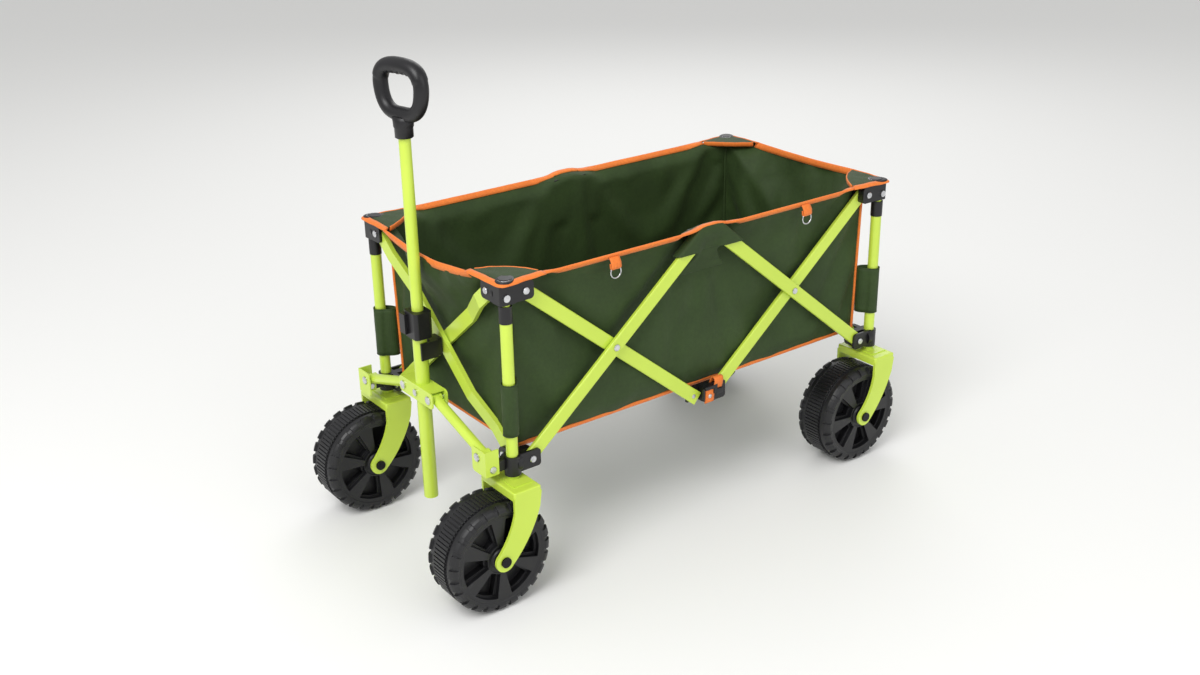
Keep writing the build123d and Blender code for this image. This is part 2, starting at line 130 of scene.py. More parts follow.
def colourBetween(tree, factor, dark, light, low=0.35, high=0.65):
    ramp = addNode(tree, "ShaderNodeValToRGB", {"Fac": factor})
    for element, place, colour in zip(ramp.color_ramp.elements, (low, high), (dark, light)):
        element.position, element.color = place, hexColour(colour)
    return ramp.outputs["Color"]


def rangeOf(tree, value, low, high, newLow, newHigh):
    inputs = {"Value": value, "From Min": low, "From Max": high, "To Min": newLow, "To Max": newHigh}
    return addNode(tree, "ShaderNodeMapRange", inputs).outputs["Result"]


def grainMaterial(name, look):
    # a solid finish: colour drifts slowly, roughness drifts with handling, and a fine grain catches the light
    material, tree, shader = startMaterial(name, look["shader"])
    where = addNode(tree, "ShaderNodeTexCoord").outputs["Object"]
    drift = addNode(tree, "ShaderNodeTexNoise", {"Vector": where, "Scale": 1000 / look["driftMm"], "Detail": 3.0})
    grain = addNode(tree, "ShaderNodeTexNoise", {"Vector": where, "Scale": 1000 / look["grainMm"], "Detail": 2.0})
    scuff = addNode(tree, "ShaderNodeTexNoise", {"Vector": where, "Scale": 1000 / look["scuffMm"], "Detail": 6.0,
                                                 "Roughness": 0.7, "Distortion": 1.5})
    base = colourBetween(tree, drift.outputs["Fac"], look["dark"], look["light"], 0.3, 0.7)
    scuffMask = rangeOf(tree, scuff.outputs["Fac"], look["scuffFrom"], look["scuffFrom"] + 0.1, 0.0, look["scuffMost"])
    mixed = addNode(tree, "ShaderNodeMix", data_type="RGBA")
    tree.links.new(scuffMask, mixed.inputs[0])
    tree.links.new(base, mixed.inputs[6])
    mixed.inputs[7].default_value = hexColour(look["scuffColour"])
    tree.links.new(mixed.outputs[2], shader.inputs["Base Color"])
    tree.links.new(rangeOf(tree, drift.outputs["Fac"], 0.3, 0.7, *look["roughness"]), shader.inputs["Roughness"])
    bump = addNode(tree, "ShaderNodeBump", {"Height": grain.outputs["Fac"], "Strength": look["bump"],
                                            "Distance": look["bumpMm"] * metres})
    tree.links.new(bump.outputs["Normal"], shader.inputs["Normal"])
    return material


def clothMaterial(name, look):
    # woven cloth on the piece's own map in millimetres: crossed threads, slow dye drift and a soft sheen
    material, tree, shader = startMaterial(name, look["shader"])
    where = addNode(tree, "ShaderNodeUVMap", uv_map="cut").outputs["UV"]
    turn = 2 * pi / look["threadMm"] / 20  # a wave band texture repeats 20 radians per unit
    warp = addNode(tree, "ShaderNodeTexWave", {"Vector": where, "Scale": turn * look["warpRatio"], "Distortion": 0.3,
                                               "Detail": 1.0}, bands_direction="X")
    weft = addNode(tree, "ShaderNodeTexWave", {"Vector": where, "Scale": turn, "Distortion": 0.3, "Detail": 1.0},
                   bands_direction="Y")
    weave = addNode(tree, "ShaderNodeMath", {0: warp.outputs["Fac"], 1: weft.outputs["Fac"]}, operation="MULTIPLY")
    drift = addNode(tree, "ShaderNodeTexNoise", {"Vector": where, "Scale": 1 / look["driftMm"], "Detail": 4.0})
    slub = addNode(tree, "ShaderNodeTexNoise", {"Vector": where, "Scale": 1 / look["slubMm"], "Detail": 2.0})
    base = colourBetween(tree, drift.outputs["Fac"], look["dark"], look["light"], 0.25, 0.75)
    thread = rangeOf(tree, weave.outputs["Value"], 0.0, 1.0, 1.0 - look["threadShade"], 1.0 + look["threadShade"])
    slubShade = rangeOf(tree, slub.outputs["Fac"], 0.3, 0.7, 0.92, 1.08)
    both = addNode(tree, "ShaderNodeMath", {0: thread, 1: slubShade}, operation="MULTIPLY")
    shaded = addNode(tree, "ShaderNodeVectorMath", {0: base}, operation="SCALE")
    tree.links.new(both.outputs["Value"], shaded.inputs["Scale"])
    tree.links.new(shaded.outputs["Vector"], shader.inputs["Base Color"])
    bump = addNode(tree, "ShaderNodeBump", {"Height": weave.outputs["Value"], "Strength": look["bump"],
                                            "Distance": look["bumpMm"] * metres})
    tree.links.new(bump.outputs["Normal"], shader.inputs["Normal"])
    return material


finishes = {
    # powder coated steel: glossy lime with a faint orange peel and a few dull handling marks
    "limePowderCoat": grainMaterial("limePowderCoat", {
        "dark": "#C4DD48", "light": "#CEE752", "driftMm": 160, "grainMm": 2.2, "scuffMm": 60, "scuffFrom": 0.68,
        "scuffMost": 0.35, "scuffColour": "#8DB31F", "roughness": (0.27, 0.38), "bump": 0.12, "bumpMm": 0.2,
        "shader": {"Specular IOR Level": 0.5, "Coat Weight": 0.25, "Coat Roughness": 0.15}}),
    # glass filled nylon: moulded black with a satin, slightly pebbled skin
    "blackNylon": grainMaterial("blackNylon", {
        "dark": "#0B0A0D", "light": "#141317", "driftMm": 60, "grainMm": 1.1, "scuffMm": 35, "scuffFrom": 0.66,
        "scuffMost": 0.4, "scuffColour": "#3A393D", "roughness": (0.34, 0.5), "bump": 0.25, "bumpMm": 0.15,
        "shader": {"Specular IOR Level": 0.5}}),
    # blow moulded polyethylene: waxy black with pale scuffs from sand
    "blackPolyethylene": grainMaterial("blackPolyethylene", {
        "dark": "#101012", "light": "#1A1A1D", "driftMm": 45, "grainMm": 1.6, "scuffMm": 22, "scuffFrom": 0.62,
        "scuffMost": 0.45, "scuffColour": "#45454A", "roughness": (0.36, 0.52), "bump": 0.3, "bumpMm": 0.2,
        "shader": {"Specular IOR Level": 0.5}}),
    # zinc plated steel: bright rivet heads with a brushed haze
    "zincSteel": grainMaterial("zincSteel", {
        "dark": "#B9BABD", "light": "#E2E3E6", "driftMm": 9, "grainMm": 0.9, "scuffMm": 6, "scuffFrom": 0.6,
        "scuffMost": 0.5, "scuffColour": "#9A9B9E", "roughness": (0.2, 0.38), "bump": 0.1, "bumpMm": 0.08,
        "shader": {"Metallic": 1.0}}),
    # blackened steel: axle bolts and socket screws with an oily dark sheen
    "blackOxideSteel": grainMaterial("blackOxideSteel", {
        "dark": "#1A1A1C", "light": "#2B2B2E", "driftMm": 8, "grainMm": 0.8, "scuffMm": 5, "scuffFrom": 0.6,
        "scuffMost": 0.5, "scuffColour": "#5A5A5E", "roughness": (0.3, 0.45), "bump": 0.15, "bumpMm": 0.08,
        "shader": {"Metallic": 0.8}}),
    # 600 denier polyester oxford: dull dark green, threads of 0.5 mm drawn at 1.6 mm so that they show
    "greenOxford": clothMaterial("greenOxford", {
        "dark": "#2C3E1B", "light": "#384D24", "threadMm": 1.6, "warpRatio": 1.0, "driftMm": 90, "slubMm": 7,
        "threadShade": 0.16, "bump": 0.35, "bumpMm": 0.35,
        "shader": {"Roughness": 0.64, "Specular IOR Level": 0.3, "Sheen Weight": 0.04, "Sheen Roughness": 0.4}}),
    # orange bias binding: ribbed tape with a brighter, smoother thread than the cloth
    "orangeTape": clothMaterial("orangeTape", {
        "dark": "#EE7A2C", "light": "#F88836", "threadMm": 1.5, "warpRatio": 0.5, "driftMm": 60, "slubMm": 5,
        "threadShade": 0.12, "bump": 0.4, "bumpMm": 0.3,
        "shader": {"Roughness": 0.62, "Specular IOR Level": 0.4, "Sheen Weight": 0.1, "Sheen Roughness": 0.4}}),
}


# Finishes for the carried-over parts: each closed solid of a node gets its own by its size and place
def solidsOf(mesh):
    owner, sets = {}, []
    for polygon in mesh.polygons:
        keys = [tuple(round(c * 1e5) for c in mesh.vertices[i].co) for i in polygon.vertices]
        found = {owner[k] for k in keys if k in owner}
        home = min(found) if found else len(sets)
        if not found:
            sets.append([])
        for other in found - {home}:
            for key, _ in sets[other]:
                owner[key] = home
            sets[home] += sets[other]
            sets[other] = []
        for key in keys:
            owner[key] = home
            sets[home].append((key, polygon.index))
    return [group for group in sets if group]


def paintNode(name, pick):
    mesh = nodes[name].data
    mesh.materials.clear()
    used = []
    for group in solidsOf(mesh):
        corners = [[c / 100 for c in key] for key, _ in group]
        low = Vector([min(c[i] for c in corners) for i in range(3)])
        high = Vector([max(c[i] for c in corners) for i in range(3)])
        finish = pick(low, high)
        if finish not in used:
            used.append(finish)
            mesh.materials.append(finishes[finish])
        for _, index in group:
            mesh.polygons[index].material_index = used.index(finish)


def rivetsAnd(main):
    return lambda low, high: "zincSteel" if max(high - low) < 40 else main


def cornerBlock(low, high):
    size = high - low
    if size.z > 200 and size.x < 20:
        return "limePowderCoat"  # the inner tube
    if 24 < size.x < 30 or max(size) > 40 or size.z > 24:
        return "blackNylon"
    return "zincSteel"


paintRules = (
    (("top_connector", "bottom_connector"), cornerBlock),
    (("post_", "fork_", "handle_tube", "handle_rod"), lambda low, high: "limePowderCoat"),
    (("side_bar", "end_bar", "handle_corner", "handle_arm", "handle_centre"), rivetsAnd("limePowderCoat")),
    (("centre_connector",), rivetsAnd("blackNylon")),
    (("axle_",), lambda low, high: "blackOxideSteel"),
    (("handle_clamp", "parking_clip"), lambda low, high: "blackNylon"),
)
for nodeName in sorted(nodes):
    for prefixes, pick in paintRules:
        if nodeName.startswith(prefixes):
            paintNode(nodeName, pick)
print("frame parts finished")


# Helpers shared by the new pieces
def addPiece(name, bm, finish, body, stands=(), bevel=0, smooth=True, subdivide=0, thick=0, turnOut=False):
    if turnOut:
        bmesh.ops.recalc_face_normals(bm, faces=bm.faces)
    for face in bm.faces:
        face.smooth = smooth
    mesh = bpy.data.meshes.new(name)
    bm.to_mesh(mesh)
    bm.free()
    mesh.transform(Matrix.Scale(metres, 4))
    piece = bpy.data.objects.new(name, mesh)
    bpy.context.scene.collection.objects.link(piece)
    mesh.materials.append(finishes[finish])
    if bevel:
        edge = piece.modifiers.new("edge", "BEVEL")
        edge.width, edge.segments, edge.limit_method, edge.angle_limit = bevel * metres, 2, "ANGLE", radians(35)
    if thick:
        wall = piece.modifiers.new("wall", "SOLIDIFY")
        wall.thickness, wall.offset = thick * metres, 0
    if subdivide:
        fine = piece.modifiers.new("fine", "SUBSURF")
        fine.levels = fine.render_levels = subdivide
    if stands:
        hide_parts(*stands)
    if body:
        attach(piece, body)
    return piece


def placed(bm, *moves):
    copy = bm.copy()
    for move in moves:
        bmesh.ops.transform(copy, matrix=move, verts=copy.verts)
    return copy


def joinInto(bm, other):
    scratch = bpy.data.meshes.new("scratch")
    other.to_mesh(scratch)
    other.free()
    bm.from_mesh(scratch)
    bpy.data.meshes.remove(scratch)


def clothGrid(columns, rows, shape, cut):
    # a woven grid whose points and cut map both follow u and v from 0 to 1
    bm = bmesh.new()
    bmesh.ops.create_grid(bm, x_segments=columns, y_segments=rows, size=0.5)
    uvLayer = bm.loops.layers.uv.new("cut")
    for face in bm.faces:
        for loop in face.loops:
            loop[uvLayer].uv = ((loop.vert.co.x + 0.5) * cut[0], (loop.vert.co.y + 0.5) * cut[1])
    for vert in bm.verts:
        vert.co = shape(vert.co.x + 0.5, vert.co.y + 0.5)
    return bm


def blendStep(value, low, high):
    part = min(max((value - low) / (high - low), 0), 1)
    return part * part * (3 - 2 * part)


def pathLength(points):
    return sum((b - a).length for a, b in zip(points, points[1:]))


def foldedTape(edge, inside, half=1.5, width=11):
    # binding folded over an edge: each row of the grid is a closed section round the cloth
    section = ((width, half), (width * 0.5, half + 0.3), (1.5, half), (-0.6, half * 0.75), (-1.4, 0),
               (-0.6, -half * 0.75), (1.5, -half), (width * 0.5, -half - 0.3), (width, -half), (width, half))
    count = len(edge) - 1
    bm = clothGrid(count, len(section) - 1, lambda u, v: Vector((u, v, 0)), (1, 1))
    bm.verts.ensure_lookup_table()
    uvLayer = bm.loops.layers.uv["cut"]
    length = pathLength(edge)
    for face in bm.faces:
        for loop in face.loops:
            loop[uvLayer].uv = (loop[uvLayer].uv.x * length, loop[uvLayer].uv.y * width * 2)
    for vert in bm.verts:
        i, j = round(vert.co.x * count), round(vert.co.y * (len(section) - 1))
        before, after = edge[max(i - 1, 0)], edge[min(i + 1, count)]
        inward = (inside[i] - edge[i]).normalized()
        across = (after - before).normalized().cross(inward).normalized()
        step, lift = section[j]
        wobble = 0.35 * noise.noise(edge[i] * 0.03)
        vert.co = edge[i] + inward * (step + wobble) + across * lift
    bmesh.ops.remove_doubles(bm, verts=bm.verts, dist=0.01)
    bmesh.ops.holes_fill(bm, edges=bm.edges, sides=12)
    bmesh.ops.recalc_face_normals(bm, faces=bm.faces)
    return bm


# Wheels: one moulding spun about X, then its lugs, ribs and pockets are pushed in or out
wheelShape = {
    "radius": 97.4, "halfWidth": 41, "steps": 264, "ribSteps": 3, "ribHeight": 2.2, "band": 17, "lugSteps": 11,
    "lugGap": 4, "lugHeight": 3.4, "spokes": 6, "spokeSteps": 17, "pocketFrom": 27, "pocketTo": 73,
    "pocketStep": 9, "pocketDepth": 13,
}


def halfWheel():
    w = wheelShape
    half, radius, band = w["halfWidth"], w["radius"], w["band"]
    base = radius - w["ribHeight"]
    section = ((0, base), (band, base), (band + 0.6, base - 2.4), (band + 2.2, base - 2.4), (band + 3, base - 0.6),
               (29, base - 0.9), (33, base - 2.2), (36.5, base - 4.8), (39, base - 8.2), (40.2, base - 12),
               (39.6, 80.5), (38.6, 79), (38, w["pocketTo"] + 2.5), (38, w["pocketTo"]), (38, w["pocketTo"] - 3.5),
               (38, w["pocketFrom"] + 4), (38, w["pocketFrom"]), (38, 25.5), (36.5, 23.5), (36, 19), (38.5, 17.5),
               (39.5, 16), (39.5, 9), (38, 8.5), (38, 5.1))
    bm = bmesh.new()
    points = [bm.verts.new((x, 0, r)) for x, r in section]
    line = [bm.edges.new((a, b)) for a, b in zip(points, points[1:])]
    bmesh.ops.spin(bm, geom=points + line, cent=(0, 0, 0), axis=(1, 0, 0), angle=2 * pi, steps=w["steps"],
                   use_merge=True, use_duplicate=False)
    bmesh.ops.remove_doubles(bm, verts=bm.verts, dist=0.001)
    bmesh.ops.recalc_face_normals(bm, faces=bm.faces)

    def stepOf(face):
        centre = face.calc_center_median()
        turn = (Vector((centre.z, centre.y)).angle_signed(Vector((1, 0))) / (2 * pi)) % 1.0
        return int(turn * w["steps"]) % w["steps"]

    def ringOf(face):
        centre = face.calc_center_median()
        return centre.x, hypot(centre.y, centre.z)

    def pushOut(faces, along, outward):
        grown = bmesh.ops.extrude_face_region(bm, geom=faces)["geom"]
        bmesh.ops.delete(bm, geom=faces, context="FACES_ONLY")
        for vert in (g for g in grown if isinstance(g, bmesh.types.BMVert)):
            reach = hypot(vert.co.y, vert.co.z)
            vert.co += Vector((along, vert.co.y / reach * outward, vert.co.z / reach * outward))
        return [g for g in grown if isinstance(g, bmesh.types.BMFace)]

    # tread: crosswise ribs on the middle band, then low lugs wrapped over the round shoulder
    pushOut([f for f in bm.faces if ringOf(f)[0] < band and ringOf(f)[1] > 90 and stepOf(f) % w["ribSteps"]],
            0, w["ribHeight"])
    pushOut([f for f in bm.faces if 29 < ringOf(f)[0] and 83.5 < ringOf(f)[1]
             and stepOf(f) % w["lugSteps"] < w["lugSteps"] - w["lugGap"]], 1.3, w["lugHeight"])
    # pockets between flat wedge spokes, each with a step inside its mouth
    share = w["steps"] // w["spokes"]

    def inPocket(face, side, rim):
        place = stepOf(face) % share
        low, reach = w["spokeSteps"] // 2 + side, ringOf(face)[1]
        return low <= place < share - low and w["pocketFrom"] + rim < reach < w["pocketTo"] - rim

    mouth = pushOut([f for f in bm.faces if ringOf(f)[0] > 25 and inPocket(f, 0, 0)], -w["pocketStep"], 0)
    pushOut([f for f in mouth if inPocket(f, 3, 3)], -w["pocketDepth"], 0)
    return bm


def wholeWheel():
    bm = halfWheel()
    other = placed(bm, Matrix.Scale(-1, 4, (1, 0, 0)))
    bmesh.ops.reverse_faces(other, faces=other.faces)
    joinInto(bm, other)
    bmesh.ops.remove_doubles(bm, verts=bm.verts, dist=0.02)
    return bm


wheelDraft = wholeWheel()
wheelTurns = {("front", "left"): 2, ("front", "right"): 14, ("rear", "left"): 35, ("rear", "right"): 8}
for endName in endSign:
    for sideName in sideSign:
        low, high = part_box(f"wheel_{endName}_{sideName}")
        middle = (low + high) * 0.5 / metres
        middle.z = wheelShape["radius"]
        turned = placed(wheelDraft, Matrix.Rotation(radians(wheelTurns[endName, sideName]), 4, "X"),
                        Matrix.Translation(middle))
        tag = f"{endName}_{sideName}"
        addPiece(f"wheel_moulding_{tag}", turned, "blackPolyethylene", f"rolling_wheel_{tag}",
                 stands=(f"wheel_{tag}",), smooth=False, bevel=0.5)
wheelDraft.free()
print("wheels made")


# Grip: a spun ring pressed into a rounded D with finger ridges, on a flared socket
gripShape = {
    "halfWide": 48, "halfHigh": 39, "ring": 45, "thick": 12.5, "narrow": 0.12, "turned": 12,
    "ridge": 2.2, "ridges": 4, "ridgeHalf": 32,
    "socket": ((0, 0), (13.2, 0), (15.2, 1.5), (15.2, 16), (16.5, 19), (19, 26), (20, 34), (0, 36)),
}
gripLow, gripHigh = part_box("handle_grip")
rodLow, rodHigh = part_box("handle_rod")
gripY = (rodLow.y + rodHigh.y) / 2 / metres


def gripPiece():
    g = gripShape
    top = gripHigh.z / metres
    middle = top - g["thick"] - g["halfHigh"]
    bm = bmesh.new()
    bmesh.ops.create_circle(bm, segments=24, radius=g["thick"],
                            matrix=Matrix.Translation((g["ring"], 0, 0)))
    bmesh.ops.spin(bm, geom=bm.verts[:] + bm.edges[:], cent=(0, 0, 0), axis=(0, 1, 0), angle=2 * pi, steps=96,
                   use_merge=True)
    bmesh.ops.remove_doubles(bm, verts=bm.verts, dist=0.001)
    for vert in bm.verts:
        turn = Vector((vert.co.x, vert.co.z))
        reach = turn.length
        turn.normalize()
        squareness = (abs(turn.x) ** 3 + abs(turn.y) ** 3) ** (-1 / 3)
        ringX, ringZ = turn.x * squareness * g["halfWide"], turn.y * squareness * g["halfHigh"]
        outX, outZ = turn.x * (reach - g["ring"]), turn.y * (reach - g["ring"])
        pinch = 1 - g["narrow"] * blendStep(-ringZ, -10, g["halfHigh"])
        ridge = 0
        if ringZ > g["halfHigh"] * 0.75 and reach < g["ring"] and abs(ringX) < g["ridgeHalf"]:
            wave = 1 + cos(ringX / g["ridgeHalf"] * pi * g["ridges"])
            ridge = g["ridge"] * wave * 0.5 * blendStep(g["ring"] - reach, 3, 10)
        deeper = 1.12 if turn.y > 0.4 else 1.0  # the hand's bar is thicker than the arms
        vert.co = Vector(((ringX + outX) * pinch, gripY + vert.co.y * deeper, middle + ringZ + outZ - ridge))
    socket = bmesh.new()
    points = [socket.verts.new((r, 0, z)) for r, z in g["socket"]]
    line = [socket.edges.new((a, b)) for a, b in zip(points, points[1:])]
    bmesh.ops.spin(socket, geom=points + line, cent=(0, 0, 0), axis=(0, 0, 1), angle=2 * pi, steps=40, use_merge=True)
    bmesh.ops.remove_doubles(socket, verts=socket.verts, dist=0.001)
    bmesh.ops.recalc_face_normals(socket, faces=socket.faces)
    bmesh.ops.scale(socket, vec=(1, 0.8, 1), verts=[v for v in socket.verts if v.co.z > 20])
    bmesh.ops.translate(socket, vec=(0, gripY, gripLow.z / metres), verts=socket.verts)
    joinInto(bm, socket)
    bmesh.ops.rotate(bm, cent=(0, gripY, 0), matrix=Matrix.Rotation(radians(g["turned"]), 3, "Z"), verts=bm.verts)
    addPiece("grip_moulding", bm, "blackNylon", "handle_pull", stands=("handle_grip",), turnOut=True)


gripPiece()
print("grip made")


# Bag: one shell of four walls and a floor, settled by a cloth simulation, then parted at its seams
bagShape = {
    "cornerX": 190, "cornerY": 399, "rimX": 219, "rimY": 440, "top": 556, "floor": 248, "cell": 12,
    "frontSag": 11, "rearSag": 2.5, "hump": 6, "cornerDrop": 4, "trimX": 130, "trimY": 347,
    "rowPower": 1.35,  # rows crowd towards the rim, where the wall flares
    "slack": 0.022, "frames": 24, "mostMove": 13, "pull": 7.5, "fine": 3.2, "cloth": 1.1,
}
wallLimit = {
    "sideBar": halfWidth - 14.5, "endBar": halfLength - 19.5, "centre": 190.5, "corner": 189.4,
    "underRim": 534, "belowFloor": 4, "barSlope": 0.822, "barEnd": (180, 557),
}


def drawnIn(down):
    # the walls come in a little towards the floor and turn under at the bottom seam
    return 4 * down + 5 * blendStep(down, 0.95, 1.0)


def sideWall(sign, along, down):
    b = bagShape
    y = along * (b["cornerY"] - drawnIn(down))
    top = b["top"] + b["hump"] * (1 - blendStep(abs(y), 12, 46))
    top -= b["cornerDrop"] * blendStep(abs(y), b["trimY"] + 4, b["cornerY"])
    z = top - down * (top - b["floor"])
    tight = max(1 - blendStep(abs(y), 48, 74), blendStep(abs(y), b["trimY"] - 34, b["trimY"] - 2))
    flare = blendStep(z, 534 + (top - 539) * tight, top) * (1 - blendStep(abs(y), b["trimY"] + 4, b["cornerY"] - 8))
    x = b["cornerX"] + (b["rimX"] - b["cornerX"]) * flare - drawnIn(down)
    return Vector((sign * x, midY + y, z))


def endBarTop(x):
    # height of the crossed end bars at x, above which the cloth may lean out
    far, high = wallLimit["barEnd"]
    return high - (far - abs(x)) * wallLimit["barSlope"]


def endWall(sign, along, down):
    b = bagShape
    x = along * (b["cornerX"] - drawnIn(down))
    top = b["top"] - b["frontSag" if sign < 0 else "rearSag"] * (1 - blendStep(abs(x), 15, 155))
    top -= b["cornerDrop"] * blendStep(abs(x), 155, 190)
    z = top - down * (top - b["floor"])
    start = min(max(452, endBarTop(x)), top - 5)
    flare = blendStep(z, start, top) * (1 - blendStep(abs(x), 155, 182))
    y = b["cornerY"] + (b["rimY"] - b["cornerY"]) * flare - drawnIn(down)
    return Vector((x, midY + sign * y, z))


def bagShell():
    b = bagShape
    high = b["top"] - b["floor"]
    long, wide = 2 * b["cornerY"], 2 * b["cornerX"]
    rows, columns, across = round(high / b["cell"]), round(long / b["cell"] / 2) * 2, round(wide / b["cell"] / 2) * 2
    shell = bmesh.new()
    shell.faces.layers.int.new("panel")
    edgeX, edgeY = sideWall(1, 0, 1).x, endWall(1, 0, 1).y - midY
    panels = (
        (columns, rows, lambda u, v: sideWall(1, 2 * u - 1, (1 - v) ** b["rowPower"]), (long, high)),
        (columns, rows, lambda u, v: sideWall(-1, 1 - 2 * u, (1 - v) ** b["rowPower"]), (long, high)),
        (across, rows, lambda u, v: endWall(-1, 2 * u - 1, (1 - v) ** b["rowPower"]), (wide, high)),
        (across, rows, lambda u, v: endWall(1, 1 - 2 * u, (1 - v) ** b["rowPower"]), (wide, high)),
        (across, columns, lambda u, v: Vector(((1 - 2 * u) * edgeX, midY + (2 * v - 1) * edgeY, b["floor"])),
         (wide, long)),
    )
    for index, (cols, lines, shape, cut) in enumerate(panels):
        grid = clothGrid(cols, lines, shape, cut)
        panel = grid.faces.layers.int.new("panel")
        for face in grid.faces:
            face[panel] = index
            if index == 4 and face.calc_center_median().x < 0:
                face[panel] = 5
        joinInto(shell, grid)
    bmesh.ops.remove_doubles(shell, verts=shell.verts, dist=1.5)
    return shell


def holdOf(co):
    b = bagShape
    x, y, z = abs(co.x), abs(co.y - midY), co.z
    rimHold = 1.0 if z > 543.5 and (x > 203 or y > 420 or z > 551) else 0.0
    cornerHold = blendStep(x, 178, 188) * blendStep(y, 386, 396)
    floorHold = 0.45 if z < b["floor"] + 2 else 0.0
    return max(rimHold, cornerHold, floorHold)


def settleBag(shell):
    # the cloth is cut a little slack and hangs from the rim, so it settles in soft folds between its seams
    b = bagShape
    for vert in shell.verts:
        if holdOf(vert.co) < 0.9:
            pull = noise.noise(Vector((vert.co.x, vert.co.y, vert.co.z * 0.45)) * 0.022)
            fine = noise.noise(Vector((vert.co.x, vert.co.y, vert.co.z * 0.3)) * 0.05 + Vector((9, 4, 2)))
            free = blendStep(vert.co.z, b["floor"] + 2, b["floor"] + 40) * (1 - holdOf(vert.co))
            vert.co += vert.normal * (pull * b["pull"] + fine * b["fine"]) * free
    rest = [vert.co.copy() for vert in shell.verts]
    mesh = bpy.data.meshes.new("settling")
    shell.to_mesh(mesh)
    mesh.transform(Matrix.Scale(metres, 4))
    bag = bpy.data.objects.new("settling", mesh)
    bpy.context.scene.collection.objects.link(bag)
    held = bag.vertex_groups.new(name="held")
    for index, co in enumerate(rest):
        held.add([index], holdOf(co), "REPLACE")
    cloth = bag.modifiers.new("cloth", "CLOTH")
    setting = cloth.settings
    setting.quality, setting.mass, setting.air_damping = 6, 0.12, 2.0
    setting.tension_stiffness = setting.compression_stiffness = 18
    setting.shear_stiffness, setting.bending_stiffness = 8, 1.2
    setting.vertex_group_mass, setting.pin_stiffness = "held", 1.0
    setting.shrink_min = -b["slack"]
    cloth.collision_settings.use_collision = False
    cloth.point_cache.frame_start, cloth.point_cache.frame_end = 1, b["frames"]
    scene = bpy.context.scene
    for step in range(1, b["frames"] + 1):
        scene.frame_set(step)
    settled = bag.evaluated_get(bpy.context.evaluated_depsgraph_get()).to_mesh()
    moved = [vert.co / metres for vert in settled.vertices]
    bag.to_mesh_clear()
    bpy.data.objects.remove(bag)
    scene.frame_set(1)
    most = 0
    for vert, start, end in zip(shell.verts, rest, moved):
        step = end - start
        most = max(most, step.length)
        if step.length > b["mostMove"]:
            step *= b["mostMove"] / step.length
        nearFloor = start.z < b["floor"] + 2
        vert.co = start + step * (0.3 if nearFloor else blendStep(start.z, b["floor"] + 3, b["floor"] + 42))
    print("bag settled, furthest point moved", round(most, 1), "mm")


def keepInside(shell):
    # the cloth stays behind the bars and off the connectors
    most = wallLimit
    lowest = bagShape["floor"] - most["belowFloor"]
    for vert in shell.verts:
        x, y, z = vert.co.x, vert.co.y - midY, vert.co.z
        limits = []
        if (abs(y) < 360 or z < 520) and abs(y) < bagShape["cornerY"] - 2:
            if abs(y) < 50 and (514 < z < 553 or z < 262):
                limits.append(most["centre"])  # behind the centre connectors
            elif z < most["underRim"]:
                limits.append(most["sideBar"])
        if abs(y) < 62 and 462 < z < 532:
            limits.append(most["centre"])  # behind the foot of the bar pocket
        if abs(y) > 364 and z > 514:
            limits.append(most["corner"])  # off the corner rivets
        if limits and abs(x) > min(limits):
            vert.co.x = min(limits) if x > 0 else -min(limits)
        if z < endBarTop(x) and abs(y) > most["endBar"]:
            vert.co.y = midY + (most["endBar"] if y > 0 else -most["endBar"])
        if z < lowest:
            vert.co.z = lowest


sideBodies = {"left": "top_centre_left", "right": "top_centre_right"}
shell = bagShell()
settleBag(shell)
keepInside(shell)
panelRows = (
    ("bag_left", "top_centre_left", (0.805, 0.318), "hung", ("bag_left",), ["centre_connector_top_left"]),
    ("bag_right", "top_centre_right", (0.805, 0.318), "hung", ("bag_right",), ["centre_connector_top_right"]),
    ("bag_front", "upper_post_front_left", (0.386, 0.33), "hung", ("bag_front",), ["top_connector_front_left"]),
    ("bag_rear", "upper_post_rear_left", (0.386, 0.33), "hung", ("bag_rear",), ["top_connector_rear_left"]),
    ("bag_floor_left", "floor_half_left", (0.19, 0.79), "stretched", ("bag_floor_left",), ["bag_wall_left"]),
    ("bag_floor_right", "floor_half_right", (0.19, 0.79), "stretched", ("bag_floor_right",), ["bag_wall_right"]),
)


def foldAway(piece, way):
    # walls and hems each get their own copy of their mesh
    if way == "along":
        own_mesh(piece)
    else:
        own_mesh(piece)


bagPieces = {}
for index, (pieceName, body, flat, held, stands, rests) in enumerate(panelRows):
    part = shell.copy()
    panel = part.faces.layers.int["panel"]
    bmesh.ops.delete(part, geom=[f for f in part.faces if f[panel] != index], context="FACES")
    newName = pieceName.replace("bag_", "bag_wall_") if index < 4 else pieceName.replace("bag_", "bag_base_")
    bagPieces[newName] = addPiece(newName, part, "greenOxford", body, stands=stands, thick=bagShape["cloth"],
                                  subdivide=1)
shell.free()
print("bag made")

# Rim binding and the piping at the bottom and corners
def wallTape(wall, sign, reach, down, depth, lift=0.0):
    count = 60
    edge, inside = [], []
    for i in range(count + 1):
        along = reach * (2 * i / count - 1)
        edge.append(wall(sign, along, down) + Vector((0, 0, lift)))
        inside.append(wall(sign, along, down + depth) + Vector((0, 0, lift)))
    return edge, inside


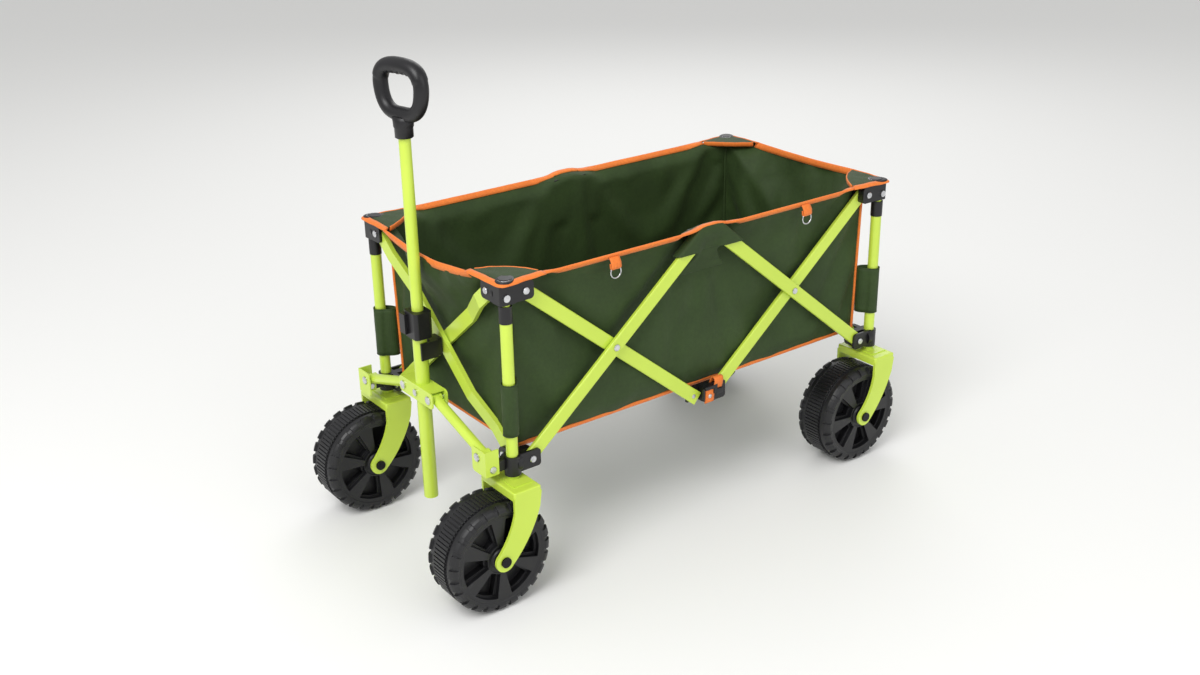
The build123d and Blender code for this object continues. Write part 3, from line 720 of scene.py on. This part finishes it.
rimTape, bottomTape = (2.3, 11.5), (2.1, 9)  # half thickness and width
hemRows = [(sideName, sideWall, sign, sideBodies[sideName], "along", (bagShape["trimY"] + 6) / bagShape["cornerY"],
            0.022, 0.995) for sideName, sign in sideSign.items()]
hemRows += [(endName, endWall, sign, f"upper_post_{endName}_left", "across",
             (bagShape["trimX"] + 8) / bagShape["cornerX"], 0.03, 0.99) for endName, sign in endSign.items()]
hems = {}
for key, wall, sign, body, way, rimReach, rimDepth, bottomReach in hemRows:
    hems[f"rim_tape_{key}"] = (foldedTape(*wallTape(wall, sign, rimReach, 0, rimDepth, 0.8), *rimTape), body, way)
    hems[f"bottom_tape_{key}"] = (foldedTape(*wallTape(wall, sign, bottomReach, 0.995, -0.03), *bottomTape), body, way)
hemPieces = {}
for pieceName, (bm, body, way) in hems.items():
    hemPieces[pieceName] = addPiece(pieceName, bm, "orangeTape", body)
for (pieceName, piece), (_, _, flat, held, _, rests) in zip(bagPieces.items(), panelRows):
    key = pieceName.replace("bag_wall_", "")
    foldAway(piece, "across" if key in endSign else "along")
for pieceName, (bm, body, way) in hems.items():
    foldAway(hemPieces[pieceName], way)
print("rim bound")


def tubeAlong(path, radius, sides=10):
    # piping: a closed tube swept by a grid wrapped round the path
    count = len(path) - 1
    bm = clothGrid(count, sides, lambda u, v: Vector((u, v, 0)), (pathLength(path), radius * 6))
    firstSide = (path[1] - path[0]).normalized().orthogonal().normalized()
    for vert in bm.verts:
        i, turn = round(vert.co.x * count), vert.co.y * 2 * pi
        along = (path[min(i + 1, count)] - path[max(i - 1, 0)]).normalized()
        side = (firstSide - along * firstSide.dot(along)).normalized()
        vert.co = path[i] + radius * (cos(turn) * side + sin(turn) * along.cross(side))
    bmesh.ops.remove_doubles(bm, verts=bm.verts, dist=0.01)
    bmesh.ops.holes_fill(bm, edges=bm.edges, sides=sides + 2)
    bmesh.ops.recalc_face_normals(bm, faces=bm.faces)
    return bm


# Floor seams: corded edges inside the walls and down the middle fold
def floorSeam(name, start, end, radius, body, way):
    path = [start.lerp(end, i / 40) for i in range(41)]
    piece = addPiece(name, tubeAlong(path, radius), "greenOxford", body)
    foldAway(piece, way)


seamX, seamY, seamZ = bagShape["cornerX"] - 12.5, bagShape["cornerY"] - 12.5, bagShape["floor"] + 2.5
for sideName, sign in sideSign.items():
    floorSeam(f"floor_seam_{sideName}", Vector((sign * seamX, midY - seamY, seamZ)),
              Vector((sign * seamX, midY + seamY, seamZ)), 3.6, sideBodies[sideName], "along")
for endName, sign in endSign.items():
    floorSeam(f"floor_seam_{endName}", Vector((-seamX, midY + sign * seamY, seamZ)),
              Vector((seamX, midY + sign * seamY, seamZ)), 3.6, f"upper_post_{endName}_left", "across")
floorSeam("floor_fold_seam", Vector((0, midY - seamY, seamZ - 3)), Vector((0, midY + seamY, seamZ - 3)), 2.6,
          "floor_half_left", "along")


# Corners: a cloth patch over each top connector, its tape, a moulded cap, the corner piping and a post sleeve
cornerShape = {
    "tip": (230, 439, 555.5), "endPoint": (131, 441, 556.5), "sidePoint": (221, 348, 556), "middle": (166, 384, 560),
    "crown": 560.4, "cells": 16, "tipRound": 15, "sleeveLow": 294, "sleeveHigh": 384, "sleeveRadius": 12.6,
    "capIn": 3, "capSink": 0.6, "capStretch": (0.76, 1.04, 0.6), "lineRadius": 14, "lineLift": 2.2,
    "cap": ((0, 2.6), (11, 2.6), (12.5, 2.0), (16, 2.0), (18.5, 1.4), (20, 0), (20, -4.5)),
    "piping": 2.8, "seam": 2.6, "pipingOut": 1.7, "seamIn": 3.0,
}


def cornerPoint(sideSignNow, endSignNow, x, y, z):
    return Vector((sideSignNow * x, midY + endSignNow * y, z))


def curveThrough(start, middle, end, part):
    control = 2 * middle - 0.5 * (start + end)
    return (1 - part) ** 2 * start + 2 * part * (1 - part) * control + part ** 2 * end


def patchPoint(u, v):
    c = cornerShape
    tip, endPoint, sidePoint, middle = (Vector(c[k]) for k in ("tip", "endPoint", "sidePoint", "middle"))

    def inner(part):
        return curveThrough(endPoint, middle, sidePoint, part)

    low, high = tip.lerp(endPoint, u), inner(1 - 0.5 * u)
    left, right = tip.lerp(sidePoint, v), inner(0.5 * v)
    corners = tip.lerp(endPoint, u).lerp(sidePoint.lerp(inner(0.5), u), v)
    point = low.lerp(high, v) + left.lerp(right, u) - corners
    point.z = (low.z * (1 - v) + high.z * v + left.z * (1 - u) + right.z * u) - corners.z
    edge = min(u, v)
    lift = blendStep(edge, 0, 0.16) * (1 - 0.5 * blendStep(max(u, v), 0.6, 1.0))
    point.z += (c["crown"] - point.z) * lift
    point.z += 0.8 * noise.noise(Vector((point.x, point.y, 0)) * 0.06)
    tipRound = c["tipRound"]
    beyond = Vector((point.x - tip.x + tipRound, point.y - tip.y + tipRound))
    if beyond.x > 0 and beyond.y > 0 and beyond.length > tipRound:
        beyond *= tipRound / beyond.length
        point.x, point.y = tip.x - tipRound + beyond.x, tip.y - tipRound + beyond.y
    return point


def cornerPieces(endName, sideName):
    c, s, e = cornerShape, sideSign[sideName], endSign[endName]
    body = f"upper_post_{endName}_{sideName}"
    tag = f"{endName}_{sideName}"
    patch = clothGrid(c["cells"], c["cells"], lambda u, v: cornerPoint(s, e, *patchPoint(u, v)), (100, 95))
    if s * e > 0:
        bmesh.ops.reverse_faces(patch, faces=patch.faces)
    patchPiece = addPiece(f"corner_patch_{tag}", patch, "greenOxford", body, thick=1.2, subdivide=1)

    steps = 28
    innerEdge, innerIn, outerEdge, outerIn = [], [], [], []
    for i in range(steps + 1):
        part = i / steps
        u, v = (1, 2 * part) if part < 0.5 else (2 - 2 * part, 1)
        innerEdge.append(cornerPoint(s, e, *patchPoint(u, v)))
        innerIn.append(innerEdge[-1] + Vector((s * 1.5, e * 1.5, -10)))
    for i in range(steps + 1):
        part = i / steps
        u, v = (1 - 2 * part, 0) if part < 0.5 else (0, 2 * part - 1)
        outerEdge.append(cornerPoint(s, e, *patchPoint(u, v)))
        outerIn.append(cornerPoint(s, e, *patchPoint(max(u, 0.12), max(v, 0.12))))
    hung = foldedTape(innerEdge[3:-3], innerIn[3:-3], 1.5, 8)  # it stops short of the rim tapes
    innerTape = addPiece(f"trim_tape_{tag}", hung, "orangeTape", body)
    outerTape = addPiece(f"edge_tape_{tag}", foldedTape(outerEdge, outerIn, 1.6, 9.5), "orangeTape", body)

    # the cap: an oval dome pressed on the connector's button, with a bright line round half of it
    capX, capY = halfWidth - c["capIn"], halfLength - c["capIn"]
    cap = bmesh.new()
    points = [cap.verts.new((r, 0, z)) for r, z in c["cap"]]
    line = [cap.edges.new((a, b)) for a, b in zip(points, points[1:])]
    bmesh.ops.spin(cap, geom=points + line, cent=(0, 0, 0), axis=(0, 0, 1), angle=2 * pi, steps=48, use_merge=True)
    bmesh.ops.remove_doubles(cap, verts=cap.verts, dist=0.001)
    bmesh.ops.holes_fill(cap, edges=cap.edges, sides=60)
    ringBm = bmesh.new()
    bmesh.ops.create_circle(ringBm, segments=8, radius=0.5,
                            matrix=Matrix.Translation((c["lineRadius"], 0, 0)) @ Matrix.Rotation(pi / 2, 4, "X"))
    bmesh.ops.spin(ringBm, geom=ringBm.verts[:] + ringBm.edges[:], cent=(0, 0, 0), axis=(0, 0, 1),
                   angle=radians(230), steps=36)
    bmesh.ops.holes_fill(ringBm, edges=ringBm.edges, sides=10)
    lay = (Matrix.Translation((s * capX, midY + e * capY, c["crown"] - c["capSink"])) @
           Matrix.Rotation(-s * e * pi / 4, 4, "Z") @ Matrix.Diagonal((*c["capStretch"], 1)))
    addPiece(f"corner_cap_{tag}", placed(cap, lay), "blackNylon", body, turnOut=True)
    cap.free()
    lift = Matrix.Translation((0, 0, c["lineLift"]))
    start = Matrix.Rotation(radians(150), 4, "Z")
    addPiece(f"cap_line_{tag}", placed(ringBm, start, lift, lay), "zincSteel", body, turnOut=True)
    ringBm.free()

    # piping down the corner seam of the bag
    b = bagShape
    path = []
    for z in range(250, 549, 9):
        drawn = 4 * (1 - (z - b["floor"]) / (b["top"] - b["floor"]))
        waver = 0.8 * noise.noise(Vector((s, e, z * 0.02)))
        path.append(cornerPoint(s, e, b["cornerX"] + c["pipingOut"] - drawn,
                                b["cornerY"] + c["pipingOut"] - drawn + waver, z))
    addPiece(f"corner_piping_{tag}", tubeAlong(path, c["piping"]), "orangeTape", body)
    inner = [point - Vector((s * c["seamIn"], e * c["seamIn"], 0)) for point in path]
    addPiece(f"corner_seam_{tag}", tubeAlong(inner, c["seam"]), "greenOxford", body)

    # sleeve: cloth wrapped round the post and sewn to the bag's corner seam
    post = Vector((halfWidth, halfLength, 0))
    seam = Vector((b["cornerX"] + 1, b["cornerY"] + 1, 0))
    toSeam = (seam - post).normalized()
    high, low = c["sleeveHigh"], c["sleeveLow"]

    def sleevePoint(u, v):
        turn = 2 * pi * u
        way = Vector((cos(turn), sin(turn), 0))
        reach = c["sleeveRadius"] + 0.5 * noise.noise(Vector((way.x * 2, way.y * 2, v * 3 + s + 2 * e)))
        toward = max(way.dot(toSeam), 0) ** 7
        reach += (seam - post).length * toward - c["sleeveRadius"] * toward
        return cornerPoint(s, e, *(post + way * reach + Vector((0, 0, low + (high - low) * v))))

    sleeve = clothGrid(40, 12, sleevePoint, (105, high - low))
    bmesh.ops.remove_doubles(sleeve, verts=sleeve.verts, dist=0.01)
    bmesh.ops.recalc_face_normals(sleeve, faces=sleeve.faces)
    sleevePiece = addPiece(f"post_sleeve_{tag}", sleeve, "greenOxford", body, thick=1.2)
    for level, edgeName in ((low, "low"), (high, "high")):
        hoop = [sleevePoint(i / 40, (level - low) / (high - low)) for i in range(41)]
        addPiece(f"sleeve_hem_{edgeName}_{tag}", tubeAlong(hoop, 1.1, 6), "greenOxford", body)


for endName in endSign:
    for sideName in sideSign:
        cornerPieces(endName, sideName)
print("corners made")


# Middle of each long side: the pocket over the bars' ends, the lashing rings, the buckle and its strap
flapShape = {
    "peak": 564, "low": 518, "topHalf": 25, "bottomHalf": 79, "out": 220.8, "tuck": 11, "sideIn": 205,
    "footUp": 6, "footLow": 472, "footHalf": 22, "footSpread": 30,
}
ringShape = {"places": (-212, 223), "radius": 10.5, "wire": 1.3, "height": 527.5, "tabWide": 20}


def flapPoint(sign, u, v):
    # over both bars' ends, with its sides turned in beside them and its middle drawn in between them
    f = flapShape
    down, side = 1 - v, 2 * u - 1
    y = side * (f["topHalf"] + (f["bottomHalf"] - f["topHalf"]) * down)
    z = f["peak"] - (f["peak"] - f["low"]) * down - 3 * abs(side) ** 3 * (1 - down)
    x = f["out"] - 1.5 * (1 - blendStep(down, 0, 0.3)) + 0.8 * sin(pi * down) * (1 - side * side)
    x -= f["tuck"] * (1 - blendStep(abs(y), 8, 34)) * blendStep(down, 0.3, 1.0)
    x += (f["sideIn"] - x) * blendStep(abs(side), 0.92, 1.0)
    return Vector((sign * x, midY + y, z))


def footPoint(sign, u, v):
    # the cloth running on from the flap, between the two bars, down to the wall
    f, b = flapShape, bagShape
    down, side = 1 - v, 2 * u - 1
    y = side * (f["footHalf"] + f["footSpread"] * down)
    high = f["low"] + f["footUp"]
    z = high - (high - f["footLow"]) * down
    start = f["out"] - 1.4 - f["tuck"] * (1 - blendStep(abs(side) * f["footHalf"], 8, 34))
    wall = sideWall(1, y / b["cornerY"], (b["top"] - z) / (b["top"] - b["floor"])).x + 3.2
    sides = blendStep(abs(side), 0.6, 1.0) * blendStep(down, 0.1, 0.4)
    x = start + (wall - start) * max(blendStep(down, 0.05, 1.0), sides)
    return Vector((sign * x, midY + y, z))


def lashingRing(sign, y):
    r = ringShape
    bm = bmesh.new()
    bmesh.ops.create_circle(bm, segments=10, radius=r["wire"], matrix=Matrix.Translation((r["radius"], 0, 0)))
    bmesh.ops.spin(bm, geom=bm.verts[:] + bm.edges[:], cent=(0, 0, 0), axis=(0, 1, 0), angle=2 * pi, steps=40,
                   use_merge=True)
    bmesh.ops.remove_doubles(bm, verts=bm.verts, dist=0.001)
    for vert in bm.verts:  # the upper side is straight, where the tab holds it
        vert.co.z = min(vert.co.z, r["radius"] * 0.62 + (vert.co.z - r["radius"] * 0.62) * 0.15)
    upright = Matrix.Translation((sign * 223.4, midY + y, r["height"])) @ Matrix.Rotation(pi / 2, 4, "Z")
    bmesh.ops.transform(bm, matrix=upright, verts=bm.verts)
    return bm


def webbing(sign, y, wide, path):
    # a strap that follows side-on points (outward, up), woven along its length
    count = 18
    fine = []
    for i in range(count + 1):
        spot = i / count * (len(path) - 1)
        k = min(int(spot), len(path) - 2)
        a, b = Vector(path[k]), Vector(path[k + 1])
        fine.append(a.lerp(b, spot - k))
    length = pathLength([Vector((p.x, p.y, 0)) for p in fine])

    def point(u, v):
        spot = fine[round(v * count)]
        return Vector((sign * spot.x, midY + y + (u - 0.5) * wide, spot.y))

    bm = clothGrid(4, count, point, (wide, length))
    if sign < 0:
        bmesh.ops.reverse_faces(bm, faces=bm.faces)
    return bm


tabPath = ((218.5, 553), (222.2, 548), (225.0, 543), (225.6, 536), (223.4, 532.4), (221.3, 535), (220.6, 542))
strapRows = (  # width, place along the cart, and path outward and up
    (21, 2, ((215.4, 224), (216.6, 229), (217.3, 240), (217.6, 252))),
    (20, 20, ((216.8, 247), (219.5, 256), (221.2, 264), (219.6, 270), (214.5, 271), (209.5, 266), (206.0, 256))),
)
buckleBlocks = (  # place along the cart, height, width, tallness and thickness
    (2, 254, 25, 7, 7), (14, 250, 8, 20, 7), (22, 243, 17, 10, 8), (-13, 243, 4, 24, 5),
)
for sideName, sign in sideSign.items():
    body = sideBodies[sideName]
    flap = clothGrid(30, 14, lambda u, v: flapPoint(sign, u, v), (125, 50))
    foot = clothGrid(20, 10, lambda u, v: footPoint(sign, u, v), (90, 54))
    if sign < 0:
        bmesh.ops.reverse_faces(flap, faces=flap.faces)
        bmesh.ops.reverse_faces(foot, faces=foot.faces)
    flapPiece = addPiece(f"bar_pocket_{sideName}", flap, "greenOxford", body, thick=1.2, subdivide=1)
    footPiece = addPiece(f"bar_pocket_foot_{sideName}", foot, "greenOxford", body, thick=1.0, subdivide=1)
    ringBm = bmesh.new()
    for y in ringShape["places"]:
        joinInto(ringBm, lashingRing(sign, y))
    rings = addPiece(f"lashing_rings_{sideName}", ringBm, "zincSteel", body, stands=(f"d_rings_{sideName}",),
                     turnOut=True)
    tabs = bmesh.new()
    for y in ringShape["places"]:
        joinInto(tabs, webbing(sign, y, ringShape["tabWide"], tabPath))
    tabsPiece = addPiece(f"ring_tabs_{sideName}", tabs, "orangeTape", body, thick=1.5)
    for piece in (rings, tabsPiece):
        foldAway(piece, "along")
    body = f"bottom_centre_{sideName}"
    strapStands = (f"buckle_strap_{sideName}",)
    straps = bmesh.new()
    for wide, y, path in strapRows:
        joinInto(straps, webbing(sign, y, wide, path))
    addPiece(f"buckle_webbing_{sideName}", straps, "orangeTape", body, stands=strapStands, thick=1.6)
    buckle = bmesh.new()
    for y, z, wide, tall, thick in buckleBlocks:
        block = bmesh.new()
        bmesh.ops.create_cube(block, size=1)
        bmesh.ops.bevel(block, geom=block.edges[:], offset=0.14, offset_type="OFFSET", segments=2, profile=0.5,
                        affect="EDGES", material=-1)
        spread = (Matrix.Translation((sign * 217.5, midY + y, z)) @ Matrix.Diagonal((thick, wide, tall, 1)))
        joinInto(buckle, placed(block, spread))
        block.free()
    addPiece(f"buckle_{sideName}", buckle, "blackNylon", body, turnOut=True)
    rivet = bmesh.new()
    bmesh.ops.create_uvsphere(rivet, u_segments=20, v_segments=10, radius=4.2)
    bmesh.ops.transform(rivet, verts=rivet.verts,
                        matrix=Matrix.Translation((sign * 218.4, midY + 2, 237)) @ Matrix.Diagonal((0.42, 1, 1, 1)))
    addPiece(f"strap_rivet_{sideName}", rivet, "zincSteel", body)
print("straps and rings made")


# Floor
floorBm = bmesh.new()
bmesh.ops.create_grid(floorBm, x_segments=2, y_segments=2, size=40)
floorMesh = bpy.data.meshes.new("studio_floor")
floorBm.to_mesh(floorMesh)
floorBm.free()
paper = startMaterial("studioPaper", {"Roughness": 0.85, "Base Color": hexColour("#F4F4F2")})[0]
floorMesh.materials.append(paper)
floorPiece = bpy.data.objects.new("studio_floor", floorMesh)
bpy.context.scene.collection.objects.link(floorPiece)
